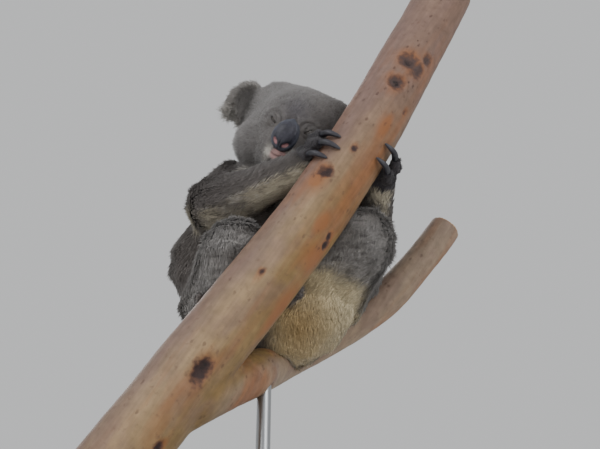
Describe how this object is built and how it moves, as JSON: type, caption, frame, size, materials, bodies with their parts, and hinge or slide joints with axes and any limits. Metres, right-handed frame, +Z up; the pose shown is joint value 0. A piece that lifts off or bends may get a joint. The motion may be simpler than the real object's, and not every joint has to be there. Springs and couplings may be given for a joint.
{
  "type": "koala",
  "caption": "Life-size koala asleep in a tree fork, hugging a leaning limb, on a flat base with two rods.",
  "frame": {"origin": "on the floor, on the base's underside, straight below the middle of the koala's body", "axes": "+Z up; the koala's face and belly look towards -Y; its left side is +X, the way the limb leans up"},
  "size_m": [0.5594, 0.34, 0.9014],
  "materials": {
    "coat": "dense woolly grey-brown fur, cream below, speckled on the thigh",
    "nose_leather": "dark, finely pebbled bare skin",
    "eye": "dark brown glossy eyeball under closed lids",
    "claw": "dark horn, satin",
    "bark": "smooth pinkish-tan gum bark with dark knots and stains",
    "stand_steel": "brushed",
    "stand_board": "dark painted board, satin"
  },
  "bodies": {
    "root": {"belly": "coat", "chest": "coat", "claw_foot_left_1": "claw", "claw_foot_left_2": "claw", "claw_foot_left_3": "claw", "claw_foot_left_4": "claw", "claw_foot_right_1": "claw", "claw_foot_right_2": "claw", "claw_foot_right_3": "claw", "claw_foot_right_4": "claw", "claw_hand_left_1": "claw", "claw_hand_left_2": "claw", "claw_hand_left_3": "claw", "claw_hand_left_4": "claw", "claw_hand_left_5": "claw", "claw_hand_right_1": "claw", "claw_hand_right_2": "claw", "claw_hand_right_3": "claw", "claw_hand_right_4": "claw", "claw_hand_right_5": "claw", "ear_left": "coat", "ear_right": "coat", "eye_left": "eye", "eye_right": "eye", "foot_left": "coat", "foot_right": "coat", "forearm_left": "coat", "forearm_right": "coat", "hand_left": "coat", "hand_right": "coat", "head": "coat", "neck": "coat", "nose": "nose_leather", "perch_branch": "bark", "perch_limb": "bark", "rump": "coat", "shin_left": "coat", "shin_right": "coat", "stand_base": "stand_board", "stand_rod_lower": "stand_steel", "stand_rod_upper": "stand_steel", "thigh_left": "coat", "thigh_right": "coat", "upper_arm_left": "coat", "upper_arm_right": "coat"}
  },
  "joints": []
}
